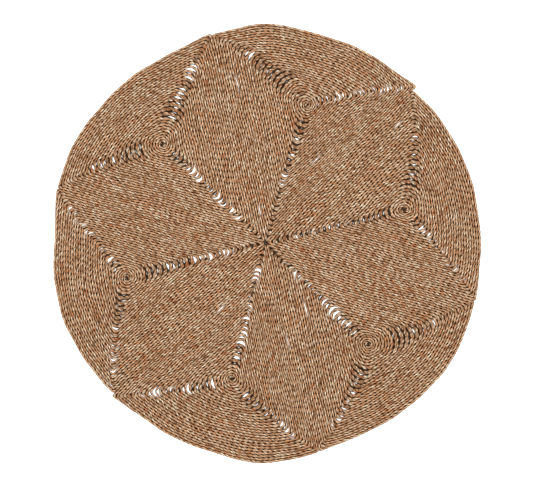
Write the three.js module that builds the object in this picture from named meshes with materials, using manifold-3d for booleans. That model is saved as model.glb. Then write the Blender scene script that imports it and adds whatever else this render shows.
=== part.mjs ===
// A round floor rug of twisted seagrass rope. Six panels, each one rope wound outwards from its own
// centre into a rounded triangle, are sewn edge to edge, so that their bends draw a six-pointed star.
// Z is up, the rug lies on Z = 0, and X and Y cross at the middle of its underside.
import * as THREE from "three";
import { mergeVertices } from "three/addons/utils/BufferGeometryUtils.js";
import Module from "manifold-3d";

// Sizes in millimetres.
const TURNS = 30; // turns of rope in each panel
const ROPE_PITCH = 6.7; // from one turn to the next
const CREST_HEIGHT = 6.4; // top of the rope, which sewing presses a little flat
const CREST_UNEVENNESS = 0.5; // how far a crest can lie under that
const VALLEY_HEIGHT = 4.2; // bottom of the groove between two turns
const EDGE_HEIGHT = 3.2; // widest part of the rope at the rug's edge
const UNDERSIDE_INSET = 1.4; // the rope's round underside draws in this much at the edge
const SEAM_GAP = 0.3; // between two panels
const GAP_WIDTHS = [0.2, 1.4]; // the gaps between turns are from this to that many times their usual width
const GAP_REACHES = [1.2, 3.2]; // a gap's arms are from this to that many times as long as it is wide
const GAP_SHIFT = 4; // a gap can lie this far beside the middle of its bend
const NARROWEST_ROPE = 0.72 * ROPE_PITCH; // what a gap leaves of the ropes beside it
const NARROWEST_CUT = 3; // a narrower gap is left to the groove
const CUT_MARGIN = 1; // the cuts run this far past the top and the underside
const SEAMS_MEET = new THREE.Vector2(-7.1, 1.4); // where the six seams cross, from the rug's middle
const MERGE_DISTANCE = 1e-3;

// Bend radii of the rope's middle line.
const BEND_ROOM = 0.85; // the most that a bend takes of the turn's room
const USUAL_BENDS = [0.98 * ROPE_PITCH, 1.82 * ROPE_PITCH];
const TIGHTENING = 0.3 * ROPE_PITCH; // a bend can be this much tighter than the last turn's
const LAST_BEND = 3; // the last turn is sewn into the rug's corners, almost to a point
const LAST_BENDS_STEP = 4; // the turns before it can be this much wider each
const TIP_RADIUS = 1; // the last turn's outer edge where the six panels meet, pressed to a point

// The innermost turns are round, up to the first of these, and fully triangular from the second on.
const ROUND_TURNS = [2, 7];

const DEGREE = Math.PI / 180;
const RIGHT_ANGLE = 90 * DEGREE;

// One row for each panel, anticlockwise. seam is the direction of its first seam from where the seams meet,
// in degrees, and coilRadius and coilAngle place the start of its rope. rim is the radius of the rug's edge
// in five even steps from the first seam to the second. heart, start and end give the gaps between turns
// where the rope bends at the rug's middle, at the first seam's rim end and at the second's: the first and
// the last turn that can have one, the share of those turns that have, and their usual width.
const PANELS = [
  {
    name: "panel_1", seam: -15.4, coilRadius: 401, coilAngle: 13.3, rim: [602, 602, 603, 601, 594],
    heart: [5, 24, 0.85, 4.4], start: [5, 25, 0.6, 5], end: [8, 18, 0.9, 3.8],
  },
  {
    name: "panel_2", seam: 45.9, coilRadius: 402, coilAngle: 73.1, rim: [603, 602, 603, 610, 600],
    heart: [6, 18, 0.6, 4.2], start: [4, 26, 0.35, 5], end: [10, 21, 0.5, 5.2],
  },
  {
    name: "panel_3", seam: 104.2, coilRadius: 398, coilAngle: 135.6, rim: [597, 593, 597, 601, 599],
    heart: [5, 23, 0.9, 6], start: [9, 23, 0.8, 5], end: [8, 19, 0.65, 4.5],
  },
  {
    name: "panel_4", seam: 165.4, coilRadius: 397, coilAngle: 193.8, rim: [594, 587, 600, 601, 594],
    heart: [7, 24, 0.7, 6], start: [5, 25, 0.4, 6], end: [6, 28, 0.4, 4.2],
  },
  {
    name: "panel_5", seam: 224.8, coilRadius: 388, coilAngle: 256.3, rim: [597, 597, 604, 613, 601],
    heart: [5, 25, 0.75, 7], start: [6, 23, 0.7, 6.2], end: [7, 22, 0.45, 7],
  },
  {
    name: "panel_6", seam: 284.5, coilRadius: 405, coilAngle: 315.3, rim: [594, 602, 611, 615, 606],
    heart: [6, 25, 0.8, 5.5], start: [8, 22, 0.8, 4.5], end: [9, 21, 0.7, 4.6],
  },
];

// The points of one turn, in the order the rope runs: three on each bend, and seven on the rim between the
// last bend and the first. around is the point's direction on a round turn, in degrees from the rug's radius
// through the start of the rope.
const CORNERS = ["end", "heart", "start"];
const CORNER_PLACES = CORNERS.flatMap((corner, i) =>
  [0, 0.5, 1].map((part) => ({ corner, part, rimPart: 0, around: 20 + 120 * i + 80 * part })),
);
const RIM_PLACES = [1, 2, 3, 4, 5, 6, 7].map((step) => ({ rimPart: step / 8, around: 340 + (40 * step) / 8 }));
const PLACES = [...CORNER_PLACES, ...RIM_PLACES];
const LAST_PLACE = CORNER_PLACES.length - 1; // on the last turn the rope ends here

// Each unevenness has its own number, so that one doesn't repeat another.
const SALT = { bend: 0, crest: 10, gap: 10, width: 20, reach: 30, shift: 40 };

const SEAGRASS = new THREE.MeshStandardMaterial({ color: 0xb08a62, roughness: 0.85, metalness: 0 });

const wasm = await Module();
wasm.setup();

// An uneven but repeatable number from 0 to 1, for hand-made variation.
function scatter(a, b, c) {
  const s = Math.sin(a * 12.9898 + b * 78.233 + c * 37.719) * 43758.5453;
  return s - Math.floor(s);
}

// An uneven number for one bend of one turn.
function uneven(panel, turn, corner, salt) {
  return scatter(panel.index + 1, turn, CORNERS.indexOf(corner) + 1 + salt);
}

function along(angle, length) {
  return new THREE.Vector2(Math.cos(angle) * length, Math.sin(angle) * length);
}

// A panel's row with the directions and widths that its turns are worked out from. The widths run from the
// start of the rope to each side.
function layOut(row, index) {
  const next = PANELS[(index + 1) % PANELS.length];
  const first = row.seam * DEGREE;
  const second = (next.seam + (next.seam < row.seam ? 360 : 0)) * DEGREE;
  const coil = along(row.coilAngle * DEGREE, row.coilRadius);
  const firstInward = along(first + RIGHT_ANGLE, 1);
  const secondInward = along(second - RIGHT_ANGLE, 1);
  const firstWidth = coil.dot(firstInward) - SEAM_GAP / 2;
  const secondWidth = coil.dot(secondInward) - SEAM_GAP / 2;
  const rimWidth = row.rim[2] - row.coilRadius;
  const panel = { ...row, index, first, second, coil, firstInward, secondInward, firstWidth, secondWidth };
  panel.narrowest = Math.min(firstWidth, secondWidth, rimWidth);
  panel.bends = Object.fromEntries(CORNERS.map((corner) => [corner, bendRadii(panel, corner)]));
  return panel;
}

// Bend radii of every turn's middle line at one corner, from the innermost turn. The first ones grow with the
// turn, and after them each bend is a little tighter than the one before, down to the usual one.
function bendRadii(panel, corner) {
  const [firstTurn] = panel[corner];
  const radii = [];
  for (let turn = 1; turn <= TURNS; turn++) {
    const room = BEND_ROOM * panel.narrowest * ((turn - 0.5) / TURNS);
    const usual = THREE.MathUtils.lerp(...USUAL_BENDS, uneven(panel, turn, corner, SALT.bend));
    const tightened = radii.length > 0 ? radii.at(-1) - TIGHTENING : room;
    const squeezed = LAST_BEND + LAST_BENDS_STEP * (TURNS - turn);
    radii.push(turn > firstTurn ? Math.min(room, Math.max(usual, tightened), squeezed) : room);
  }
  return radii;
}

// The smooth curve through five even steps, at a part from 0 to 1.
function smoothly(values, part) {
  const points = values.map((value, i) => new THREE.Vector3(i, value, 0));
  const curve = new THREE.CatmullRomCurve3(points, false, "catmullrom", 0.5);
  return curve.getPoint(THREE.MathUtils.clamp(part, 0, 1)).y;
}

// Distance from where the seams meet to a turn's rim side, in this direction. share is the turn's place
// between the start of the rope and the edge. The rug's edge steps out by a pitch along each panel, because
// its outermost stretch leads from the last turn but one to the last.
function rimRadius(panel, share, direction) {
  const part = (direction - panel.first) / (panel.second - panel.first);
  const edge = smoothly(panel.rim, part) + ROPE_PITCH * (1 - part);
  return panel.coilRadius + share * (edge - panel.coilRadius);
}

// The middle of a bend that lies one radius inside its two sides, and the rim direction that it faces.
function bendMiddle(panel, corner, share, radius) {
  const fromFirst = SEAM_GAP / 2 + panel.firstWidth * (1 - share) + radius;
  const fromSecond = SEAM_GAP / 2 + panel.secondWidth * (1 - share) + radius;
  if (corner === "heart") {
    const spread = panel.second - panel.first;
    const reach = (fromSecond + fromFirst * Math.cos(spread)) / Math.sin(spread);
    return { middle: along(panel.first, reach).addScaledVector(panel.firstInward, fromFirst) };
  }
  const startSide = [panel.first, panel.firstInward, fromFirst];
  const endSide = [panel.second, panel.secondInward, fromSecond];
  const [seam, inward, inset] = corner === "start" ? startSide : endSide;
  let direction = seam;
  let middle;
  for (let pass = 0; pass < 4; pass++) {
    const reach = rimRadius(panel, share, direction) - radius;
    middle = along(seam, Math.sqrt(reach ** 2 - inset ** 2)).addScaledVector(inward, inset);
    direction = seam + Math.atan2(along(seam, 1).cross(middle), along(seam, 1).dot(middle));
  }
  return { middle, direction };
}

// A point of the rope, outward by a part of a pitch from its middle line.
function ropePoint(panel, turn, place, outward) {
  const radii = Object.fromEntries(
    Object.entries(panel.bends).map(([corner, list]) => [corner, list[turn - 1] + outward * ROPE_PITCH]),
  );
  if (turn === TURNS && outward > 0) radii.heart = TIP_RADIUS;
  const share = (turn - 0.5 + outward + place.rimPart) / TURNS;
  const start = bendMiddle(panel, "start", share, radii.start);
  const end = bendMiddle(panel, "end", share, radii.end);
  let point;
  if (place.corner) {
    const { middle } = bendMiddle(panel, place.corner, share, radii[place.corner]);
    const [from, to] = {
      end: [end.direction, panel.second + RIGHT_ANGLE],
      heart: [panel.second + RIGHT_ANGLE, panel.first + 3 * RIGHT_ANGLE],
      start: [panel.first - RIGHT_ANGLE, start.direction],
    }[place.corner];
    point = along(THREE.MathUtils.lerp(from, to, place.part), radii[place.corner]).add(middle);
  } else {
    const direction = THREE.MathUtils.lerp(start.direction, end.direction, place.rimPart);
    point = along(direction, rimRadius(panel, share, direction));
  }
  const roundness = 1 - THREE.MathUtils.smoothstep(turn + place.around / 360, ...ROUND_TURNS);
  const roundRadius = ((turn - 0.5 + outward + (place.around - 20) / 360) / TURNS) * panel.narrowest;
  const round = along((panel.coilAngle + place.around) * DEGREE, roundRadius).add(panel.coil);
  return point.lerp(round, roundness).add(SEAMS_MEET);
}

function raised(point, height) {
  return new THREE.Vector3(point.x, point.y, height);
}

// The closed solid of an indexed geometry.
function toSolid(geometry) {
  geometry.deleteAttribute("normal");
  geometry.deleteAttribute("uv");
  const merged = mergeVertices(geometry, MERGE_DISTANCE);
  const mesh = new wasm.Mesh({
    numProp: 3,
    vertProperties: new Float32Array(merged.attributes.position.array),
    triVerts: new Uint32Array(merged.index.array),
  });
  return new wasm.Manifold(mesh);
}

function toGeometry(manifold) {
  const mesh = manifold.getMesh();
  const geometry = new THREE.BufferGeometry();
  geometry.setAttribute("position", new THREE.BufferAttribute(new Float32Array(mesh.vertProperties), 3));
  geometry.setIndex(new THREE.BufferAttribute(new Uint32Array(mesh.triVerts), 1));
  return geometry;
}

// The crests of one panel's rope, as one row of points from the start of the rope to its end.
function crestPoints(panel) {
  const crests = [];
  for (let turn = 1; turn <= TURNS; turn++) {
    for (const [i, place] of PLACES.entries()) {
      if (turn === TURNS && i > LAST_PLACE) continue;
      const height = CREST_HEIGHT - CREST_UNEVENNESS * scatter(panel.index + 1, turn, i + SALT.crest);
      crests.push(raised(ropePoint(panel, turn, place, 0), height));
    }
  }
  return crests;
}

// One panel before its gaps are cut: crests and grooves on top, a flat underside, and a round edge.
function woundSlab(panel, crests) {
  const around = PLACES.length;
  const grooves = crests.slice(around).map((outer, i) => {
    const middle = crests[i].clone().lerp(outer, 0.5);
    return middle.setZ(VALLEY_HEIGHT);
  });
  const edge = crests.slice(-around).map((crest, i) => {
    const place = (LAST_PLACE + 1 + i) % around;
    const turn = place > LAST_PLACE ? TURNS - 1 : TURNS;
    return raised(ropePoint(panel, turn, PLACES[place], 0.5), EDGE_HEIGHT);
  });
  const underside = edge.map((point, i) => {
    const crest = crests[crests.length - around + i];
    const inward = crest.clone().sub(point).setZ(0).setLength(UNDERSIDE_INSET);
    return point.clone().add(inward).setZ(0);
  });

  const middle = raised(panel.coil.clone().add(SEAMS_MEET), CREST_HEIGHT);
  const points = [middle, ...crests, ...grooves, ...edge, ...underside];
  const crest = (i) => 1 + i;
  const groove = (i) => 1 + crests.length + i; // the edge carries on where the grooves end
  const floor = (i) => groove(grooves.length + edge.length + i);
  const triangles = [];
  const quad = (a, b, c, d) => triangles.push([a, b, c], [a, c, d]);

  for (let i = 0; i < around - 1; i++) triangles.push([0, crest(i), crest(i + 1)]);
  triangles.push([0, crest(around - 1), crest(0)]);
  triangles.push([crest(0), crest(around - 1), groove(0)], [crest(around - 1), crest(around), groove(0)]);
  for (let i = 0; i < crests.length - 1; i++) quad(crest(i), groove(i), groove(i + 1), crest(i + 1));
  for (let i = 0; i < grooves.length - 1; i++) {
    quad(groove(i), crest(i + around), crest(i + around + 1), groove(i + 1));
  }

  // The rope's end tapers, from its last crest to the first point of the edge.
  const ropeEnd = crest(crests.length - 1);
  const edgeStart = groove(grooves.length);
  triangles.push([ropeEnd, groove(grooves.length + around - 1), edgeStart]);
  triangles.push([ropeEnd, edgeStart, groove(grooves.length - 1)]);
  for (let i = 0; i < around; i++) {
    const j = (i + 1) % around;
    quad(groove(grooves.length + j), groove(grooves.length + i), floor(i), floor(j));
  }
  const outline = underside.map((point) => new THREE.Vector2(point.x, point.y));
  for (const [a, b, c] of THREE.ShapeUtils.triangulateShape(outline, [])) {
    triangles.push([floor(c), floor(b), floor(a)]);
  }
  const surface = new THREE.BufferGeometry().setFromPoints(points);
  surface.setIndex(triangles.flat());
  return toSolid(surface);
}

// The point at this distance along a line of points from one of them, backwards if it is negative.
function stepAlong(line, from, distance) {
  const way = Math.sign(distance);
  let left = Math.abs(distance);
  let i = from;
  while (line[i].distanceTo(line[i + way]) < left) {
    left -= line[i].distanceTo(line[i + way]);
    i += way;
  }
  return line[i].clone().lerp(line[i + way], left / line[i].distanceTo(line[i + way]));
}

// The see-through gaps of one panel. Each is a dart between two turns, near the middle of a bend: its point and
// its notch lie on the two ropes' edges, and its arms run out along the groove.
function gapCuts(panel, crests) {
  const around = PLACES.length;
  const flat = crests.map((crest) => new THREE.Vector2(crest.x, crest.y));
  const grooves = flat.slice(around).map((outer, i) => flat[i].clone().lerp(outer, 0.5));
  const cuts = [];
  for (const [i, place] of PLACES.entries()) {
    if (place.part !== 0.5) continue;
    const [firstTurn, lastTurn, share, usual] = panel[place.corner];
    for (let turn = firstTurn; turn <= lastTurn; turn++) {
      const pick = (low, high, salt) => THREE.MathUtils.lerp(low, high, uneven(panel, turn, place.corner, salt));
      const at = (turn - 1) * around + i;
      const across = flat[at + around].clone().sub(flat[at]);
      const width = Math.min(usual * pick(...GAP_WIDTHS, SALT.width), across.length() - NARROWEST_ROPE);
      if (pick(0, 1, SALT.gap) >= share || width < NARROWEST_CUT) continue;
      const reach = width * pick(...GAP_REACHES, SALT.reach);
      const shift = pick(-GAP_SHIFT, GAP_SHIFT, SALT.shift);
      const middle = stepAlong(grooves, at, shift);
      across.setLength(width / 2);
      const notch = middle.clone().sub(across);
      const tip = middle.clone().add(across);
      const shape = new THREE.Shape([
        notch,
        stepAlong(grooves, at, shift - reach),
        tip,
        stepAlong(grooves, at, shift + reach),
      ]);
      const depth = CREST_HEIGHT + 2 * CUT_MARGIN;
      const prism = new THREE.ExtrudeGeometry(shape, { depth, bevelEnabled: false });
      cuts.push(toSolid(prism.translate(0, 0, -CUT_MARGIN)));
    }
  }
  return cuts;
}

const rug = new THREE.Group();
for (const panel of PANELS.map(layOut)) {
  const crests = crestPoints(panel);
  const cuts = gapCuts(panel, crests);
  const wound = woundSlab(panel, crests).subtract(wasm.Manifold.union(cuts));
  const mesh = new THREE.Mesh(toGeometry(wound), SEAGRASS.clone());
  mesh.name = panel.name;
  rug.add(mesh);
}

export default rug;
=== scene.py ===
"""Dress the wound seagrass rug: rope by rope, with its floor, lights and camera."""
import math

import bpy
import numpy as np
from bpy.props import FloatProperty, FloatVectorProperty, PointerProperty
from bpy.types import Operator, Panel, PropertyGroup
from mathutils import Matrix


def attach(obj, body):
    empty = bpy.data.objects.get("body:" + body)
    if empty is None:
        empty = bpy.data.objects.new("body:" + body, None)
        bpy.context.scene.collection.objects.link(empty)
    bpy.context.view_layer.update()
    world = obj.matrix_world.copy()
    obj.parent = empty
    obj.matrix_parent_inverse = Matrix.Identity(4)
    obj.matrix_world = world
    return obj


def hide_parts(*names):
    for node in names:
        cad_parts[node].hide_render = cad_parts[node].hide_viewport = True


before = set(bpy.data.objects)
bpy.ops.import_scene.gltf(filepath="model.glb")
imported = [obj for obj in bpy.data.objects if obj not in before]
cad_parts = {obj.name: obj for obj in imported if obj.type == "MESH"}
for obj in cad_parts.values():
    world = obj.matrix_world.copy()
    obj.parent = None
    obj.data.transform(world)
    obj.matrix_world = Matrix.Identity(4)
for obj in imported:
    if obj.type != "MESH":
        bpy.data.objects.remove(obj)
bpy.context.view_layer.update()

bl_info = {
    "name": "Wound Seagrass Rug",
    "version": (1, 0, 0),
    "blender": (4, 5, 0),
    "location": "View3D > Sidebar > Rug",
    "description": "A round rug of two-ply seagrass rope, wound in six panels and sewn edge to edge",
    "category": "Object",
}

MM = 0.001
DEGREE = math.pi / 180
RIGHT_ANGLE = 90 * DEGREE

# The winding, in millimetres, as the construction has it.
TURNS = 30
ROPE_PITCH = 6.7
SEAM_GAP = 0.3
SEAMS_MEET = np.array([-7.1, 1.4])
GAP_WIDTHS = (0.2, 1.4)  # the gaps between turns are from this to that many times their usual width
GAP_REACHES = (1.2, 3.2)  # a gap's arms are from this to that many times as long as it is wide
GAP_SHIFT = 4  # a gap can lie this far beside the middle of its bend
NARROWEST_ROPE = 0.72 * ROPE_PITCH  # what a gap leaves of the ropes beside it
BEND_ROOM = 0.85  # the most that a bend takes of the turn's room
USUAL_BENDS = (0.98 * ROPE_PITCH, 1.82 * ROPE_PITCH)
TIGHTENING = 0.3 * ROPE_PITCH  # a bend can be this much tighter than the last turn's
LAST_BEND = 3  # the last turn is sewn into the rug's corners, almost to a point
LAST_BENDS_STEP = 4  # the turns before it can be this much wider each
TIP_GAP = 0.3  # each panel's corner is pressed to a point this far from where the seams meet
ROUND_TURNS = (2, 7)  # round up to the first, fully triangular from the second on
ROUND_START = 20  # in a round turn, the first bend starts this many degrees past the coil's direction
ROUND_BEND = 80  # each of its bends takes this many degrees
ROUND_SIDE = 40  # and each of its sides
TAPER = 1 / 8  # the rope's end thins out over this share of the rim
CORNERS = ("end", "heart", "start")
SALT = {"bend": 0, "gap": 10, "width": 20, "reach": 30, "shift": 40, "small": 60}

# One row for each panel, anticlockwise. seam is the direction of its first seam from where the seams meet,
# in degrees, and coil is the radius and direction of the start of its rope. rim is the radius of the rug's
# edge in five even steps from the first seam to the second. heart, start and end give the gaps between
# turns where the rope bends: the first and the last turn that can have one, the share of those turns that
# have, and their usual width.
PANELS = (
    {"name": "panel_1", "seam": -15.4, "coil": (401, 13.3), "rim": (602, 602, 603, 601, 594),
     "heart": (5, 24, 0.85, 4.4), "start": (5, 25, 0.6, 5), "end": (8, 18, 0.9, 3.8)},
    {"name": "panel_2", "seam": 45.9, "coil": (402, 73.1), "rim": (603, 602, 603, 610, 600),
     "heart": (6, 18, 0.6, 4.2), "start": (4, 26, 0.35, 5), "end": (10, 21, 0.5, 5.2)},
    {"name": "panel_3", "seam": 104.2, "coil": (398, 135.6), "rim": (597, 593, 597, 601, 599),
     "heart": (5, 23, 0.9, 6), "start": (9, 23, 0.8, 5), "end": (8, 19, 0.65, 4.5)},
    {"name": "panel_4", "seam": 165.4, "coil": (397, 193.8), "rim": (594, 587, 600, 601, 594),
     "heart": (7, 24, 0.7, 6), "start": (5, 25, 0.4, 6), "end": (6, 28, 0.4, 4.2)},
    {"name": "panel_5", "seam": 224.8, "coil": (388, 256.3), "rim": (597, 597, 604, 613, 601),
     "heart": (5, 25, 0.75, 7), "start": (6, 23, 0.7, 6.2), "end": (7, 22, 0.45, 7)},
    {"name": "panel_6", "seam": 284.5, "coil": (405, 315.3), "rim": (594, 602, 611, 615, 606),
     "heart": (6, 25, 0.8, 5.5), "start": (8, 22, 0.8, 4.5), "end": (9, 21, 0.7, 4.6)},
)

# The rope's own shape, in millimetres.
ROPE_RADIUS = 3.2
WAIST = 0.66  # the groove between the two plies lies at this share of the radius
PRESS = 1.03  # neighbouring turns are pressed into each other by this much
EDGE_REACH = 3.5  # from the last turn's middle line to its outside, where the panels touch
WIDEST_ROPE = 1.6 * ROPE_PITCH  # where a bend leaves more room, the mesh fills the rest, and painted shade stands for the hollow there
PARTING_ROOM = (1.1, 1.7)  # the plies are shown parted, by a line of painted shade, as the room for a turn grows from this to that many pitches
START_THICKNESS = (0.85, 1)  # of the rope's first bit, which the turn round it holds
END_THICKNESS = (0.35, 1)  # of its last bit
LEAST_END_WIDTH = 0.2  # the width of the thinned out end, as a share of the rope's
COIL_HOLLOWS = (0.4, 1.3)  # the coil's middle has painted shade over this much more of the half rope
COIL_HOLLOW_LENGTH = 45  # of rope, over which that fades
OPEN_SIDE = 0.25  # the rug's outer edge has this much less painted shade at its side than the other turns

# How fine the grid of the turns and the rope's mesh are.
BEND_POINTS = 17
SIDE_POINTS = 24
CORNER_STEP = BEND_POINTS + SIDE_POINTS - 1  # columns of the grid from one bend to the next
RIM_POINTS = 24
HEART = slice(CORNER_STEP, CORNER_STEP + BEND_POINTS)  # the columns of the inner bend
RIM = slice(2 * CORNER_STEP + BEND_POINTS, None)
SIDES = 8  # points around the rope
RING_STEP = 2.9  # along a straight rope, in millimetres
BEND_RINGS = 8  # turning by one radian adds as many rings as this length of rope, in millimetres
RING_CLEARANCE = 0.5  # even rings keep this far off the ones that mark the last turn's inner bend
RIM_ROUNDS = 4  # of working out where a rim bend lies
LEAST_REACH = 0.1  # what counts as the reach where there is no gap, so that nothing is divided by 0

# Gaps and slits that the construction leaves out, in millimetres.
SMALL_GAPS = {  # width of a gap at the other bends, and how far it can lie beside the middle of its bend
    "end": {"widths": (0, 4), "shift": 9},
    "heart": {"widths": (1.6, 4), "shift": 4},
    "start": {"widths": (0, 4), "shift": 9},
}
NARROWEST_GAP = 1.6  # a gap narrower than this is closed by the ropes' own fibres, and shows only painted shade
SLIT_TURNS = (20, 29)
SLIT_SHARE = 0.13  # of the seam sides of those turns have a slit
SLIT_WIDTHS = (1.8, 3.4)
SLIT_LENGTHS = (20, 70)
SLIT_SALT = {"there": 51, "place": 61, "width": 71, "length": 81}

# What the hands leave uneven, in millimetres. A wave of length l repeats every 2 pi l.
WOBBLE = 0.45  # each of two waves along the rope shifts its turns by this much
WOBBLE_WAVES = (14, 8.3)
WOBBLE_TURNS = (3, 8)  # the turns in which that grows to its full size
DRIFT_WAVES = (
    {"axis": 0, "height": 1.5, "across": 41, "up": 67, "start": 1.0},
    {"axis": 0, "height": 0.9, "across": 19, "up": -29, "start": 2.0},
    {"axis": 1, "height": 1.5, "across": 59, "up": -43, "start": 3.0},
    {"axis": 1, "height": 0.9, "across": 31, "up": 17, "start": 4.0},
)
TWIST_SEED = 100  # each panel's random numbers start from this plus its place in the table
TWIST_STEP = 60  # of rope, over which its twist and its thickness change
TWIST_SPREAD = 0.5  # standard deviation of the twist, in radians
SWELLING = 0.02  # the rope is at most this share thicker or thinner than usual

# The looks of dried seagrass. Colours are sRGB.
SEAGRASS_COLOURS = {
    "shadow": "6A4224",
    "middle": "C3926A",
    "light": "EDDCC0",
    "warm": "F2C8A2",  # the blades' colour is multiplied by this one and the next two
    "cool": "E0DACC",
    # painted shade: in the ply grooves, beside the turns, in the hollows and between parted plies, the
    # colour is multiplied by this one
    "groove": "1A0905",
}
COLOUR_STOPS = {"shadow": 0.32, "middle": 0.5, "light": 0.68}  # of the blades' noise
HUE_LIMITS = {"warm": (0.56, 0.68), "cool": (0.44, 0.33)}  # of the hues' noise, from none to all
# Length and width of the streaks, in millimetres. The blades are twisted up into strands of 1 to 3 mm, and
# drawn at the coarse end of that, because the finer ones don't show in the render. The fibres are coarser
# than real ones too, and still show only close by.
STREAKS = {
    "blades": {"length": 55, "width": 3.2, "detail": 2, "shift": 0},
    "hues": {"length": 110, "width": 5, "detail": 1, "shift": 11},
    "fibres": {"length": 9, "width": 0.5, "detail": 2, "shift": 23},
}
STREAK_ROUGHNESS = 0.55
PANEL_SHIFT = 37  # each panel's noise starts this many streaks after the one before
ROUGHNESS = 0.75
SHEEN = 0.25  # specular level of the waxy blades, which fades out where shade is painted in the grooves
PLY_WIDTHS = (0.26, 0.86)  # share of the half rope left free of painted shade with one ply on the other, and side by side
SOFT_EDGE = 0.3  # the painted shade beside that fades in over this share of the half rope either way
HOLLOW_LIGHT = 0.06  # the painted shade of the wide hollows at the bends is this much paler than in the grooves
SHADE_FIBRES = (0.3, 0.6)  # of the fibres' noise: the painted shade in a hollow is palest at the first and darkest at the second
PALEST_SHADE = 0.92  # the share of the painted shade that is left where it is palest
PLY_GROOVE = {"power": 4, "dark": 0.5}  # painted shade in the groove between the plies: |sin a| to that power, with a from the crest of a ply
PARTED_LINE = (0.35, 0.05)  # shares of the half rope: the painted shade of the line between parted plies begins, and is darkest
PARTED_DARK = 0.85
RELIEF = {"blades": 0.7, "fibres": 0.3}  # what each noise adds to the surface's height
RELIEF_HEIGHT = 1.2  # in millimetres
RELIEF_STRENGTH = 0.9

# The stage, in metres where no other unit is given.
FLOOR_SIZE = 8.0
FLOOR_DROP = 0.2  # under the rug, in millimetres
FLOOR_ROUGHNESS = 0.9
FLOOR_GLOW = 0.35
ROOM_LIGHT = 0.6
SOFTBOXES = (
    {"name": "Key softbox", "place": (-0.35, 0.45, 3.2), "size": 1.4, "power": 90},
    {"name": "Fill softbox", "place": (1.4, -0.6, 3.0), "size": 2.0, "power": 30},
)
CAMERA_PLACE = (0.0013, -0.0028, 8.0)
PHOTO_WIDTH = 1.4958  # across the photo's frame at the rug
SENSOR_WIDTH = 36  # in millimetres


def scatter(a, b, c):
    """An uneven but repeatable number from 0 to 1.

    It is s less the whole number below it, with s = 43758.5453 sin(12.9898 a + 78.233 b + 37.719 c).
    """
    s = np.sin(a * 12.9898 + b * 78.233 + c * 37.719) * 43758.5453
    return s - np.floor(s)


def along(angle, length):
    """Points at a distance in a direction: (length cos angle, length sin angle)."""
    return np.stack([np.cos(angle) * length, np.sin(angle) * length], axis=-1)


def smoothly(values, part):
    """The Catmull-Rom curve through values at even steps.

    Between two neighbours it is the cubic that has their values and their mean slopes at its ends.
    """
    v = np.array(values, dtype=float)
    slopes = np.gradient(v)
    x = np.clip(part, 0, 1) * (len(v) - 1)
    i = np.clip(np.floor(x).astype(int), 0, len(v) - 2)
    t = x - i
    rise = v[i] * (2 * t**3 - 3 * t**2 + 1) + v[i + 1] * (3 * t**2 - 2 * t**3)
    return rise + slopes[i] * (t**3 - 2 * t**2 + t) + slopes[i + 1] * (t**3 - t**2)


def between(limits, part):
    """low + (high - low) part."""
    return limits[0] + (limits[1] - limits[0]) * part


def tent(distance, reach):
    """1 at no distance, falling straight to 0 at the reach: 1 - |distance| / reach, a row for each."""
    return np.clip(1 - np.abs(distance) / np.maximum(reach, LEAST_REACH)[:, None], 0, 1)


def outward_normals(path):
    """Unit vectors to the right of an anticlockwise path, and the length of the path up to each point."""
    run = np.gradient(path, axis=0)
    size = np.linalg.norm(run, axis=1)
    outward = np.stack([run[:, 1], -run[:, 0]], axis=1) / size[:, None]
    length = np.concatenate([[0], np.cumsum(np.linalg.norm(np.diff(path, axis=0), axis=1))])
    return outward, length


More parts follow.
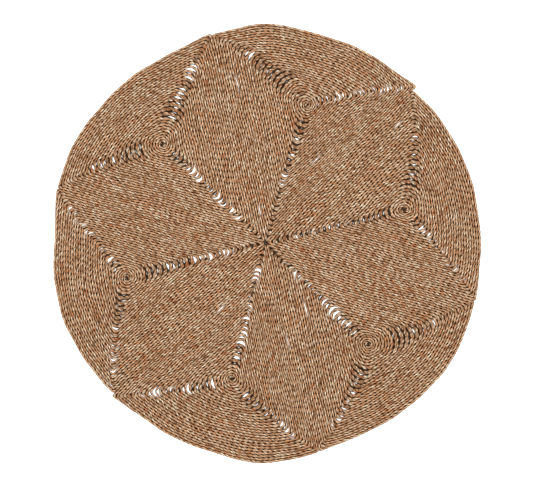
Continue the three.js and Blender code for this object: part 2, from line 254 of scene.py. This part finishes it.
class WoundPanel:
    """The directions, widths and bend radii that all turns of one panel are worked out from."""

    def __init__(self, index):
        row = PANELS[index]
        following = PANELS[(index + 1) % len(PANELS)]["seam"]
        self.row = row
        self.index = index
        self.first = row["seam"] * DEGREE
        self.second = (following + (360 if following < row["seam"] else 0)) * DEGREE
        self.coil_radius = row["coil"][0]
        self.coil_angle = row["coil"][1] * DEGREE
        self.coil = along(self.coil_angle, self.coil_radius)
        self.first_inward = along(self.first + RIGHT_ANGLE, 1)
        self.second_inward = along(self.second - RIGHT_ANGLE, 1)
        self.first_width = self.coil @ self.first_inward - SEAM_GAP / 2
        self.second_width = self.coil @ self.second_inward - SEAM_GAP / 2
        self.narrowest = min(self.first_width, self.second_width, row["rim"][2] - self.coil_radius)
        self.bends = {corner: self.bend_radii(corner) for corner in CORNERS}
        self.gaps = {corner: self.gap_widths(corner) for corner in CORNERS}

    def uneven(self, turn, corner, what):
        """An uneven number from 0 to 1 for one bend of one turn."""
        return scatter(self.index + 1, turn, CORNERS.index(corner) + 1 + SALT[what])

    def bend_radii(self, corner):
        """Bend radius of each turn, which grows with the first turns and then tightens to the usual one."""
        radii = []
        for turn in range(1, TURNS + 1):
            room = BEND_ROOM * self.narrowest * (turn - 0.5) / TURNS
            usual = between(USUAL_BENDS, self.uneven(turn, corner, "bend"))
            tightened = radii[-1] - TIGHTENING if radii else room
            squeezed = LAST_BEND + LAST_BENDS_STEP * (TURNS - turn)
            radii.append(min(room, max(usual, tightened), squeezed) if turn > self.row[corner][0] else room)
        return np.array(radii)

    def gap_widths(self, corner):
        """Width of the gap outside each turn at this bend, or 0 where it has none.

        With u an uneven number, a wide gap is usual (0.2 + 1.2 u), and a small one low + (high - low) u, by
        the widths in SMALL_GAPS.
        """
        first_turn, last_turn, share, usual = self.row[corner]
        turn = np.arange(1, TURNS + 1)
        wide = usual * between(GAP_WIDTHS, self.uneven(turn, corner, "width"))
        small = between(SMALL_GAPS[corner]["widths"], self.uneven(turn, corner, "small"))
        width = np.where(self.uneven(turn, corner, "gap") < share, wide, small)
        return np.where((turn >= first_turn) & (turn <= last_turn) & (width > NARROWEST_GAP), width, 0)

    def rim_radius(self, share, direction):
        """Distance of a turn's rim side: coil radius + share (edge + pitch (1 - part) - coil radius)."""
        part = (direction - self.first) / (self.second - self.first)
        edge = smoothly(self.row["rim"], part) + ROPE_PITCH * (1 - part)
        return self.coil_radius + share * (edge - self.coil_radius)

    def heart_middle(self, share, radius):
        """The middle of the inner bend, one radius inside both seam sides."""
        from_first = SEAM_GAP / 2 + self.first_width * (1 - share) + radius
        from_second = SEAM_GAP / 2 + self.second_width * (1 - share) + radius
        spread = self.second - self.first
        reach = (from_second + from_first * math.cos(spread)) / math.sin(spread)
        return along(self.first, reach) + self.first_inward * from_first[..., None]

    def rim_middle(self, corner, share, radius):
        """The middle of a rim bend, one radius inside the seam side and the rim, and its direction.

        The rim's radius depends on that direction, and the two settle in RIM_ROUNDS.
        """
        if corner == "start":
            seam, inward, width = self.first, self.first_inward, self.first_width
        else:
            seam, inward, width = self.second, self.second_inward, self.second_width
        inset = SEAM_GAP / 2 + width * (1 - share) + radius
        direction = np.full_like(share, seam)
        for _ in range(RIM_ROUNDS):
            reach = np.sqrt((self.rim_radius(share, direction) - radius) ** 2 - inset**2)
            middle = along(seam, reach) + inward * inset[..., None]
            ahead = middle @ along(seam, 1)
            aside = middle @ along(seam + RIGHT_ANGLE, 1)
            direction = seam + np.arctan2(aside, ahead)
        return middle, direction

    def turns(self):
        """All turns' middle lines as a grid of points, with a row for each turn.

        A bend is middle + radius (cos a, sin a), and a goes from one side's outward direction to the next.
        The rim is radius(direction). It moves out by one pitch while the direction crosses the panel, up to
        where the next turn's bend starts. The first turns are a circle about the coil's middle, and blend
        into this triangle by 3 x^2 - 2 x^3, with x from 0 to 1 over ROUND_TURNS.
        """
        turn = np.arange(1, TURNS + 1)[:, None]
        part = np.linspace(0, 1, BEND_POINTS)[None, :]
        rim_part = np.arange(1, RIM_POINTS)[None, :] / RIM_POINTS
        share = (turn - 0.5) / TURNS + 0 * part
        rim_share = (turn - 0.5 + rim_part) / TURNS
        # While the last end thins out, it leans in against the turn inside it.
        rim_share[-1] -= rim_part[0] / (2 * TAPER) / TURNS
        radii = {corner: self.bends[corner][:, None] for corner in CORNERS}
        starts, start_way = self.rim_middle("start", share, radii["start"])
        ends, end_way = self.rim_middle("end", share, radii["end"])
        hearts = self.heart_middle(share, radii["heart"])
        angles = {
            "end": (end_way, self.second + RIGHT_ANGLE),
            "heart": (self.second + RIGHT_ANGLE, self.first + 3 * RIGHT_ANGLE),
            "start": (self.first - RIGHT_ANGLE, start_way),
        }
        middles = {"end": ends, "heart": hearts, "start": starts}
        bends = []
        for corner in CORNERS:
            low, high = angles[corner]
            bends.append(middles[corner] + along(low + (high - low) * part, radii[corner]))
        side_part = np.arange(1, SIDE_POINTS)[None, :] / SIDE_POINTS
        pieces = []
        rounds = []
        for number, bend in enumerate(bends):
            start = ROUND_START + (ROUND_BEND + ROUND_SIDE) * number
            pieces.append(bend)
            rounds.append(start + ROUND_BEND * part + 0 * turn)
            if number < len(bends) - 1:
                before = bend[:, -1:]
                after = bends[number + 1][:, :1]
                pieces.append(before + (after - before) * side_part[..., None])
                rounds.append(start + ROUND_BEND + ROUND_SIDE * side_part + 0 * turn)
        _, low = self.rim_middle("start", rim_share, radii["start"])
        following = np.concatenate([radii["end"][1:], radii["end"][-1:]])
        _, high = self.rim_middle("end", rim_share, radii["end"] + (following - radii["end"]) * rim_part)
        way = low + (high - low) * rim_part
        pieces.append(along(way, self.rim_radius(rim_share, way)))
        rounds.append(start + ROUND_BEND + ROUND_SIDE * rim_part + 0 * turn)
        grid = np.concatenate(pieces, axis=1)
        around = np.concatenate(rounds, axis=1)

        low, high = ROUND_TURNS
        x = np.clip((turn + around / 360 - low) / (high - low), 0, 1)
        triangular = (x * x * (3 - 2 * x))[..., None]
        round_radius = (turn - 0.5 + (around - ROUND_START) / 360) / TURNS * self.narrowest
        circle = self.coil + along(self.coil_angle + around * DEGREE, round_radius)
        return self.wobbled(grid * triangular + circle * (1 - triangular)) + SEAMS_MEET

    def wobbled(self, grid):
        """Each turn a little out of line, by WOBBLE sin(s / l + start) for each wave of length l.

        s is the length of rope wound so far, and each panel's waves start elsewhere. It grows over
        WOBBLE_TURNS, and is gone in the last turn.
        """
        path = grid.reshape(-1, 2)
        outward, length = outward_normals(path)
        turn = 1 + np.arange(len(path)) / grid.shape[1]
        growing = np.clip((turn - WOBBLE_TURNS[0]) / (WOBBLE_TURNS[1] - WOBBLE_TURNS[0]), 0, 1)
        ending = np.clip(TURNS - turn, 0, 1)
        shift = 0
        for number, wave in enumerate(WOBBLE_WAVES):
            shift = shift + np.sin(length / wave + (number + 1) * self.index)
        path = path + outward * (WOBBLE * growing * ending * shift)[:, None]
        return path.reshape(grid.shape)

    def openings(self, length, room):
        """How far the rope draws back from the next turn, in all: w (1 - |d| / reach) at each gap and slit.

        w is its width, and d the distance from its middle along the rope, whose length up to each point is
        given. A gap is no wider than the room that the ropes beside it leave.
        """
        turn = np.arange(1, TURNS)
        opened = np.zeros_like(length)
        for number, corner in enumerate(CORNERS):
            gap = self.gaps[corner][:-1]
            reach = gap * between(GAP_REACHES, self.uneven(turn, corner, "reach"))
            small = SMALL_GAPS[corner]
            farthest = np.where(gap > small["widths"][1], GAP_SHIFT, small["shift"])
            shift = farthest * between((-1, 1), self.uneven(turn, corner, "shift"))
            middle = length[:, number * CORNER_STEP + BEND_POINTS // 2] + shift
            opened += gap[:, None] * tent(length - middle[:, None], reach)
        opened = np.minimum(opened, room)
        for side in (0, 1):
            number = {key: scatter(self.index + 1, turn, side + salt) for key, salt in SLIT_SALT.items()}
            there = (turn >= SLIT_TURNS[0]) & (turn <= SLIT_TURNS[1]) & (number["there"] < SLIT_SHARE)
            width = np.where(there, between(SLIT_WIDTHS, number["width"]), 0)
            column = side * CORNER_STEP + BEND_POINTS + (number["place"] * (SIDE_POINTS - 1)).astype(int)
            middle = length[turn - 1, column]
            reach = between(SLIT_LENGTHS, number["length"]) / 2
            opened += width[:, None] * tent(length - middle[:, None], reach)
        return opened

    def pointed(self, grid):
        """How far the last turn reaches out round its inner bend, so that it fills the panel's corner.

        At an angle f from the bend's middle that is (EDGE_REACH + r) / cos(b - |f|) - r. r is the bend's
        radius, and b half of its whole angle. It ends TIP_GAP before the point where the seams meet.
        """
        half_bend = (math.pi - (self.second - self.first)) / 2
        fan = np.abs(np.linspace(-half_bend, half_bend, BEND_POINTS))
        radius = self.bends["heart"][-1]
        tip = np.linalg.norm(grid[-1, HEART] - SEAMS_MEET, axis=-1) - TIP_GAP
        return np.minimum((EDGE_REACH + radius) / np.cos(half_bend - fan) - radius, tip / PRESS)

    def reaches(self, grid, outward, length):
        """Vectors from the rope's middle to its inner and its outer side, halfway to the next turn's point.

        Each is shorter by half of the gap there, along the outward normal. The first turn reaches to its
        centre, and the last one to the panel's edge, where its end thins out against the turn inside it.
        """
        way = grid[1:] - grid[:-1]
        room = np.maximum(np.sum(way * outward[:-1], axis=-1) - NARROWEST_ROPE, 0)
        opened = self.openings(length[:-1], room)[..., None] / 2 * outward[:-1]
        edge = np.full(grid.shape[1], EDGE_REACH)
        edge[HEART] = self.pointed(grid)
        inner = np.concatenate([self.coil + SEAMS_MEET - grid[:1], opened - way / 2])
        outer = np.concatenate([way / 2 - opened, edge[None, :, None] * outward[-1:]])
        outer[-2, RIM] = ROPE_PITCH / 2 * outward[-2, RIM]
        thinning = 1 - np.arange(1, RIM_POINTS) / RIM_POINTS / TAPER
        thinning = np.clip(thinning, LEAST_END_WIDTH, 1)[:, None]
        outer[-1, RIM] = ROPE_PITCH / 2 * thinning * outward[-1, RIM]
        inner[-1, RIM] = -outer[-1, RIM]
        return inner, outer


def drift(points):
    """The whole rug a little out of shape: height sin(x / across + y / up + start) along a wave's axis."""
    shift = np.zeros_like(points)
    for wave in DRIFT_WAVES:
        phase = points[..., 0] / wave["across"] + points[..., 1] / wave["up"] + wave["start"]
        shift[..., wave["axis"]] += wave["height"] * np.sin(phase)
    return points + shift


def sample_rope(panel):
    """Rings of one panel's rope: the length s up to each, its middle, its two reaches, and two values more.

    Those are whether nothing lies outside of it, and its curvature. The rings are even in the measure
    s + BEND_RINGS times the angle turned, so they stand closer where the rope turns.
    """
    grid = panel.turns()
    columns = grid.shape[1]
    outward, length = outward_normals(grid.reshape(-1, 2))
    rows = length.reshape(grid.shape[:-1])
    inner, outer = panel.reaches(grid, outward.reshape(grid.shape), rows)
    # Nothing lies outside the last two stretches of the rim, and the halves of the bends next to them.
    free = np.zeros(grid.shape[:-1])
    free[-2, RIM] = 1
    free[-1, :BEND_POINTS // 2] = 1
    free[-1, RIM.start - BEND_POINTS // 2:] = 1

    turned = np.arcsin(np.clip(outward[:-1, 0] * outward[1:, 1] - outward[:-1, 1] * outward[1:, 0], -1, 1))
    turned = np.concatenate([[0], np.cumsum(np.abs(turned))])
    stop = (TURNS - 1) * columns + RIM.start + int(RIM_POINTS * TAPER)
    values = [grid.reshape(-1, 2), inner.reshape(-1, 2), outer.reshape(-1, 2), free.ravel(), turned]
    values = np.column_stack(values)[:stop]
    length = length[:stop]
    measure = length + BEND_RINGS * turned[:stop]
    even = np.interp(np.arange(0, measure[-1], RING_STEP), measure, length)
    corner = length[(TURNS - 1) * columns + np.arange(HEART.start, HEART.stop, 2)]
    clear = (even < corner[0] - RING_CLEARANCE) | (even > corner[-1] + RING_CLEARANCE)
    s = np.sort(np.concatenate([even[clear], corner]))
    sampled = np.column_stack([np.interp(s, length, column) for column in values.T])
    curvature = np.gradient(sampled[:, 7], s)
    return s, sampled[:, 0:2], sampled[:, 2:4], sampled[:, 4:6], sampled[:, 6], curvature


def wind_rope(panel, lay):
    """Vertices, quads, UVs and shading values of one panel's rope.

    Ring point k stands at the angle a = 2 pi k / SIDES around the rope, and at p = a - 2 pi s / lay from
    the crest of a ply. Its radius is R (1 - (1 - WAIST) sin^2(p) |sin a|), which has a groove between the
    two plies and is pressed full where it faces the next turn. Across the rope it is scaled to the reach on
    each side. A reach that leads along the rope by t takes its point to s + t / (1 + curvature |t|).

    beside is how far a point lies to the side, as a share of the half rope, and is above 1 in the hollow
    beside it. twist is 2 pi s / lay. parted is 0 where the turns lie close and 1 where a bend leaves room.
    The material paints shade by beside and parted.
    """
    s, middle, inner, outer, free, curvature = sample_rope(panel)
    count = len(s)
    tangent = np.gradient(middle, axis=0)
    tangent /= np.linalg.norm(tangent, axis=1)[:, None]
    angle = 2 * np.pi * np.arange(SIDES)[None, :] / SIDES
    reach = np.where(np.cos(angle)[..., None] > 0, inner[:, None], outer[:, None])
    ahead = np.sum(reach * tangent[:, None], axis=-1) * np.abs(np.cos(angle))
    run = s[:, None] + ahead / (1 + curvature[:, None] * np.abs(ahead))

    rng = np.random.default_rng(TWIST_SEED + panel.index)
    knots = np.arange(0, s[-1] + TWIST_STEP, TWIST_STEP)
    uneven = np.interp(s, knots, rng.normal(0, 1, len(knots)))
    swelling = np.interp(s, knots, rng.normal(0, 1, len(knots)))
    twist = 2 * np.pi * run / lay + TWIST_SPREAD * uneven[:, None]
    radius = 1 - (1 - WAIST) * np.sin(angle - twist) ** 2 * np.abs(np.sin(angle))
    start_rise = np.sqrt(np.clip(s / (2 * ROPE_RADIUS), 0, 1))
    end_rise = np.sqrt(np.clip((s[-1] - s) / (2 * ROPE_RADIUS), 0, 1))
    taper = np.minimum(between(START_THICKNESS, start_rise), between(END_THICKNESS, end_rise))
    across = np.abs(np.cos(angle)) * radius * PRESS * taper[:, None]
    thickness = taper * (1 + SWELLING * np.tanh(swelling))
    height = ROPE_RADIUS * (1 + np.sin(angle) * radius * thickness[:, None])
    flat = drift(middle[:, None] + across[..., None] * reach)
    vertices = np.concatenate([flat, np.clip(height, 0, None)[..., None]], axis=-1) * MM

    ring = np.arange(count - 1)[:, None] * SIDES
    k = np.arange(SIDES)
    after = (k + 1) % SIDES
    quads = np.stack([ring + k, ring + after, ring + SIDES + after, ring + SIDES + k], axis=-1)

    def corners(values):
        return np.stack([values[:-1], values[:-1, after], values[1:, after], values[1:]], axis=-1)

    v = np.stack([k, k + 1, k + 1, k], axis=-1) / SIDES - corners(twist) / (2 * np.pi)
    uvs = np.stack([corners(run) * MM, v], axis=-1).reshape(-1, 2)
    aside = np.abs(reach[..., 0] * tangent[:, None, 1] - reach[..., 1] * tangent[:, None, 0])
    # More painted shade round the coil's middle, and less at the side of the rug's free outer edge.
    coil = between(COIL_HOLLOWS, scatter(panel.index + 1, 0, 0)) * np.clip(1 - s / COIL_HOLLOW_LENGTH, 0, 1)
    # A point past the widest rope gets beside over 1, and so painted shade for the hollow there.
    beside = np.abs(np.cos(angle)) * np.maximum(2 * aside / WIDEST_ROPE, 1)
    beside += np.where(np.cos(angle) < 0, -OPEN_SIDE * free[:, None], coil[:, None])
    room = 2 * aside / ROPE_PITCH
    parted = np.clip((room - PARTING_ROOM[0]) / (PARTING_ROOM[1] - PARTING_ROOM[0]), 0, 1)
    shading = {"beside": beside.ravel(), "twist": twist.ravel(), "parted": parted.ravel()}
    return vertices.reshape(-1, 3), quads.reshape(-1, 4), uvs, shading


def build_mesh(name, vertices, quads, uvs, shading):
    """A closed tube of quads, with a cap on each end, and its UVs and values for the material."""
    last = len(vertices) - SIDES
    caps = np.concatenate([np.arange(SIDES)[::-1], last + np.arange(SIDES)])
    loops = np.concatenate([quads.ravel(), caps])
    starts = np.concatenate([np.arange(len(quads)) * 4, len(quads) * 4 + np.array([0, SIDES])])
    sizes = np.concatenate([np.full(len(quads), 4), [SIDES, SIDES]])
    mesh = bpy.data.meshes.new(name)
    mesh.vertices.add(len(vertices))
    mesh.vertices.foreach_set("co", vertices.ravel())
    mesh.loops.add(len(loops))
    mesh.loops.foreach_set("vertex_index", loops.astype(np.int32))
    mesh.polygons.add(len(starts))
    mesh.polygons.foreach_set("loop_start", starts.astype(np.int32))
    mesh.polygons.foreach_set("loop_total", sizes.astype(np.int32))
    mesh.polygons.foreach_set("use_smooth", np.ones(len(starts), dtype=bool))
    for key, values in shading.items():
        mesh.attributes.new(key, "FLOAT", "POINT").data.foreach_set("value", values)
    layer = mesh.uv_layers.new(name="Rope")
    layer.data.foreach_set("uv", np.concatenate([uvs, np.tile(uvs[:1], (2 * SIDES, 1))]).ravel())
    mesh.update(calc_edges=True)
    mesh.validate()
    thing = bpy.data.objects.new(name, mesh)
    bpy.context.scene.collection.objects.link(thing)
    return thing


def linear(hex_colour):
    """sRGB hex to linear: c / 12.92 below 0.04045, else ((c + 0.055) / 1.055) ^ 2.4."""
    channels = [int(hex_colour[i:i + 2], 16) / 255 for i in (0, 2, 4)]
    return [c / 12.92 if c <= 0.04045 else ((c + 0.055) / 1.055) ** 2.4 for c in channels] + [1.0]


def add_node(tree, kind, settings, inputs, output=0):
    """One node with its settings, and a value or a socket for each input. It gives back its output."""
    node = tree.nodes.new(kind)
    for key, value in settings.items():
        setattr(node, key, value)
    for key, value in inputs.items():
        if isinstance(value, bpy.types.NodeSocket):
            tree.links.new(value, node.inputs[key])
        else:
            node.inputs[key].default_value = value
    return node.outputs[output]


def new_material(name, roughness):
    """A material with a Principled surface of this roughness."""
    material = bpy.data.materials.new(name)
    material.use_nodes = True
    tree = material.node_tree
    shader = tree.nodes["Principled BSDF"]
    shader.inputs["Roughness"].default_value = roughness
    return material, tree, shader


def seagrass_material(panel_index):
    """Dried seagrass, twisted by hand into two plies, and neither dyed nor coated.

    The eye gets pale blades along the rope with a faint waxy sheen, some of them warmer or cooler in tone,
    and painted shade of a deep brown where one ply or one turn lies against the next, in the hollows at the
    bends and round the coil's middle. The rope's UV map gives the length along the rope, in metres, and the
    turn round it from the crest of a ply.
    """
    material, tree, shader = new_material(f"Twisted seagrass {panel_index + 1}", ROUGHNESS)
    rope_map = add_node(tree, "ShaderNodeUVMap", {"uv_map": "Rope"}, {})
    place = add_node(tree, "ShaderNodeSeparateXYZ", {}, {"Vector": rope_map}).node.outputs
    angle = add_node(tree, "ShaderNodeMath", {"operation": "MULTIPLY"}, {0: place["Y"], 1: 2 * math.pi})
    side = add_node(tree, "ShaderNodeMath", {"operation": "COSINE"}, {0: angle})
    up = add_node(tree, "ShaderNodeMath", {"operation": "SINE"}, {0: angle})

    # Each noise is drawn out along the rope: its cells are as long and as wide as STREAKS says.
    noise = {}
    for key, streak in STREAKS.items():
        shift = streak["shift"] + PANEL_SHIFT * panel_index
        around = ROPE_RADIUS / streak["width"]
        vector = add_node(tree, "ShaderNodeCombineXYZ", {}, {
            "X": add_node(tree, "ShaderNodeMath", {"operation": "MULTIPLY_ADD"},
                          {0: place["X"], 1: 1 / (streak["length"] * MM), 2: shift}),
            "Y": add_node(tree, "ShaderNodeMath", {"operation": "MULTIPLY"}, {0: side, 1: around}),
            "Z": add_node(tree, "ShaderNodeMath", {"operation": "MULTIPLY"}, {0: up, 1: around}),
        })
        noise[key] = add_node(tree, "ShaderNodeTexNoise", {}, {
            "Vector": vector,
            "Scale": 1.0,
            "Detail": streak["detail"],
            "Roughness": STREAK_ROUGHNESS,
        }, "Fac")

    colour = add_node(tree, "ShaderNodeValToRGB", {}, {"Fac": noise["blades"]})
    stops = colour.node.color_ramp.elements
    for number, key in enumerate(("shadow", "light")):
        stops[number].position = COLOUR_STOPS[key]
        stops[number].color = linear(SEAGRASS_COLOURS[key])
    stops.new(COLOUR_STOPS["middle"]).color = linear(SEAGRASS_COLOURS["middle"])
    multiply = {"data_type": "RGBA", "blend_type": "MULTIPLY"}
    for key, limits in HUE_LIMITS.items():
        amount = add_node(tree, "ShaderNodeMapRange", {},
                          {"Value": noise["hues"], "From Min": limits[0], "From Max": limits[1]})
        tint = linear(SEAGRASS_COLOURS[key])
        colour = add_node(tree, "ShaderNodeMix", multiply, {0: amount, 6: colour, 7: tint}, 2)

    beside = add_node(tree, "ShaderNodeAttribute", {"attribute_name": "beside"}, {}, "Fac")
    twist = add_node(tree, "ShaderNodeAttribute", {"attribute_name": "twist"}, {}, "Fac")
    parted = add_node(tree, "ShaderNodeAttribute", {"attribute_name": "parted"}, {}, "Fac")

    # Painted shade beside the plies. They are wide where they lie side by side, and narrow where one is on
    # the other.
    level = add_node(tree, "ShaderNodeMath", {"operation": "COSINE"}, {0: twist})
    abreast = add_node(tree, "ShaderNodeMath", {"operation": "ABSOLUTE"}, {0: level})
    width = add_node(tree, "ShaderNodeMath", {"operation": "MULTIPLY_ADD"},
                     {0: abreast, 1: PLY_WIDTHS[1] - PLY_WIDTHS[0], 2: PLY_WIDTHS[0]})
    past = add_node(tree, "ShaderNodeMath", {"operation": "SUBTRACT"}, {0: beside, 1: width})
    smooth = {"interpolation_type": "SMOOTHSTEP"}
    sunk = add_node(tree, "ShaderNodeMapRange", smooth,
                    {"Value": past, "From Min": -SOFT_EDGE, "From Max": SOFT_EDGE})
    # The fibres' noise leaves the painted shade a little paler in places.
    fibre_shade = add_node(tree, "ShaderNodeMapRange", {}, {
        "Value": noise["fibres"],
        "From Min": SHADE_FIBRES[0],
        "From Max": SHADE_FIBRES[1],
        "To Min": PALEST_SHADE,
    })
    depth = add_node(tree, "ShaderNodeMath", {"operation": "MULTIPLY_ADD"},
                     {0: parted, 1: -HOLLOW_LIGHT, 2: 1.0})
    shade_by_fibres = add_node(tree, "ShaderNodeMath", {"operation": "MULTIPLY"}, {0: sunk, 1: fibre_shade})
    painted_shade_beside = add_node(tree, "ShaderNodeMath", {"operation": "MULTIPLY"}, {0: shade_by_fibres, 1: depth})

    # Painted shade between the plies, in their groove and along the middle where a bend parts them.
    steep = add_node(tree, "ShaderNodeMath", {"operation": "ABSOLUTE"}, {0: up})
    narrow = add_node(tree, "ShaderNodeMath", {"operation": "POWER"}, {0: steep, 1: PLY_GROOVE["power"]})
    ply_groove = add_node(tree, "ShaderNodeMath", {"operation": "MULTIPLY"},
                          {0: narrow, 1: PLY_GROOVE["dark"]})
    crest = add_node(tree, "ShaderNodeMapRange", smooth, {
        "Value": beside,
        "From Min": PARTED_LINE[0],
        "From Max": PARTED_LINE[1],
        "To Max": PARTED_DARK,
    })
    split = add_node(tree, "ShaderNodeMath", {"operation": "MULTIPLY"}, {0: crest, 1: parted})
    deepest = add_node(tree, "ShaderNodeMath", {"operation": "MAXIMUM"}, {0: painted_shade_beside, 1: split})
    groove = add_node(tree, "ShaderNodeMath", {"operation": "MAXIMUM"}, {0: ply_groove, 1: deepest})
    # Painted shade: the blades' colour is multiplied towards the groove colour by the darkest of the masks
    # above.
    tint = linear(SEAGRASS_COLOURS["groove"])
    shaded = add_node(tree, "ShaderNodeMix", multiply, {0: groove, 6: colour, 7: tint}, 2)
    tree.links.new(shaded, shader.inputs["Base Color"])
    # The sheen fades where the shade is painted.
    sheen = add_node(tree, "ShaderNodeMath", {"operation": "MULTIPLY_ADD"},
                     {0: groove, 1: -SHEEN, 2: SHEEN})
    tree.links.new(sheen, shader.inputs["Specular IOR Level"])

    raised = [
        add_node(tree, "ShaderNodeMath", {"operation": "MULTIPLY"}, {0: noise[key], 1: part})
        for key, part in RELIEF.items()
    ]
    relief = add_node(tree, "ShaderNodeMath", {"operation": "ADD"}, dict(enumerate(raised)))
    bump = add_node(tree, "ShaderNodeBump", {}, {
        "Height": relief,
        "Strength": RELIEF_STRENGTH,
        "Distance": RELIEF_HEIGHT * MM,
    })
    tree.links.new(bump, shader.inputs["Normal"])
    return material


class RugSizes(PropertyGroup):
    """Sizes and colours that a user would change."""

    lay: FloatProperty(
        name="Rope lay",
        description="Length of rope in which a ply goes once round, in millimetres",
        default=31.2,
        min=20,
        max=60,
    )
    floor_colour: FloatVectorProperty(
        name="Floor",
        description="Colour of the plain floor",
        subtype="COLOR",
        size=3,
        default=(0.93, 0.93, 0.93),
        min=0,
        max=1,
    )


class RUG_OT_wind_panels(Operator):
    """Wind the six panels of seagrass rope"""

    bl_idname = "rug.wind_panels"
    bl_label = "Wind Panels"

    def execute(self, context):
        sizes = context.scene.rug_sizes
        for index, row in enumerate(PANELS):
            panel = WoundPanel(index)
            rope = build_mesh(f"rope_{index + 1}", *wind_rope(panel, sizes.lay))
            rope.data.materials.append(seagrass_material(index))
            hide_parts(row["name"])
            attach(rope, "root")
        return {"FINISHED"}


class RUG_OT_set_stage(Operator):
    """Add the pale floor, the soft studio lights and the camera"""

    bl_idname = "rug.set_stage"
    bl_label = "Set Stage"

    def execute(self, context):
        sizes = context.scene.rug_sizes
        half = FLOOR_SIZE / 2
        below = -FLOOR_DROP * MM
        corners = [(-half, -half, below), (half, -half, below), (half, half, below), (-half, half, below)]
        mesh = bpy.data.meshes.new("Floor")
        mesh.from_pydata(corners, [], [(0, 1, 2, 3)])
        floor = bpy.data.objects.new("Floor", mesh)
        context.scene.collection.objects.link(floor)
        # White acrylic, lit from below: as pale and even as a studio's table.
        material, tree, shader = new_material("Lit white acrylic table", FLOOR_ROUGHNESS)
        shader.inputs["Base Color"].default_value = (*sizes.floor_colour, 1)
        shader.inputs["Emission Color"].default_value = (1, 1, 1, 1)
        shader.inputs["Emission Strength"].default_value = FLOOR_GLOW
        mesh.materials.append(material)

        world = bpy.data.worlds.new("Studio")
        world.use_nodes = True
        background = world.node_tree.nodes["Background"]
        background.inputs["Color"].default_value = (1, 1, 1, 1)
        background.inputs["Strength"].default_value = ROOM_LIGHT
        context.scene.world = world

        for row in SOFTBOXES:
            lamp = bpy.data.lights.new(row["name"], "AREA")
            lamp.shape = "SQUARE"
            lamp.size = row["size"]
            lamp.energy = row["power"]
            light = bpy.data.objects.new(row["name"], lamp)
            light.location = row["place"]
            aim = -np.array(row["place"]) / np.linalg.norm(row["place"])
            light.rotation_euler = (math.acos(-aim[2]), 0, math.atan2(aim[1], aim[0]) - RIGHT_ANGLE)
            context.scene.collection.objects.link(light)

        lens = bpy.data.cameras.new("Camera")
        lens.sensor_width = SENSOR_WIDTH
        lens.lens = SENSOR_WIDTH * CAMERA_PLACE[2] / PHOTO_WIDTH
        camera = bpy.data.objects.new("Camera", lens)
        camera.location = CAMERA_PLACE
        context.scene.collection.objects.link(camera)
        context.scene.camera = camera
        context.scene.view_settings.view_transform = "Standard"
        return {"FINISHED"}


class RUG_PT_sidebar(Panel):
    """The rug's operators in the 3D view's sidebar"""

    bl_idname = "RUG_PT_sidebar"
    bl_label = "Wound Seagrass Rug"
    bl_space_type = "VIEW_3D"
    bl_region_type = "UI"
    bl_category = "Rug"

    def draw(self, context):
        sizes = context.scene.rug_sizes
        self.layout.prop(sizes, "lay")
        self.layout.prop(sizes, "floor_colour")
        self.layout.operator(RUG_OT_wind_panels.bl_idname)
        self.layout.operator(RUG_OT_set_stage.bl_idname)


CLASSES = (RugSizes, RUG_OT_wind_panels, RUG_OT_set_stage, RUG_PT_sidebar)


def register():
    for cls in CLASSES:
        bpy.utils.register_class(cls)
    bpy.types.Scene.rug_sizes = PointerProperty(type=RugSizes)


def unregister():
    del bpy.types.Scene.rug_sizes
    for cls in reversed(CLASSES):
        bpy.utils.unregister_class(cls)


def main():
    """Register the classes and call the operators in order."""
    register()
    bpy.ops.rug.wind_panels()
    bpy.ops.rug.set_stage()


if __name__ == "__main__":
    main()
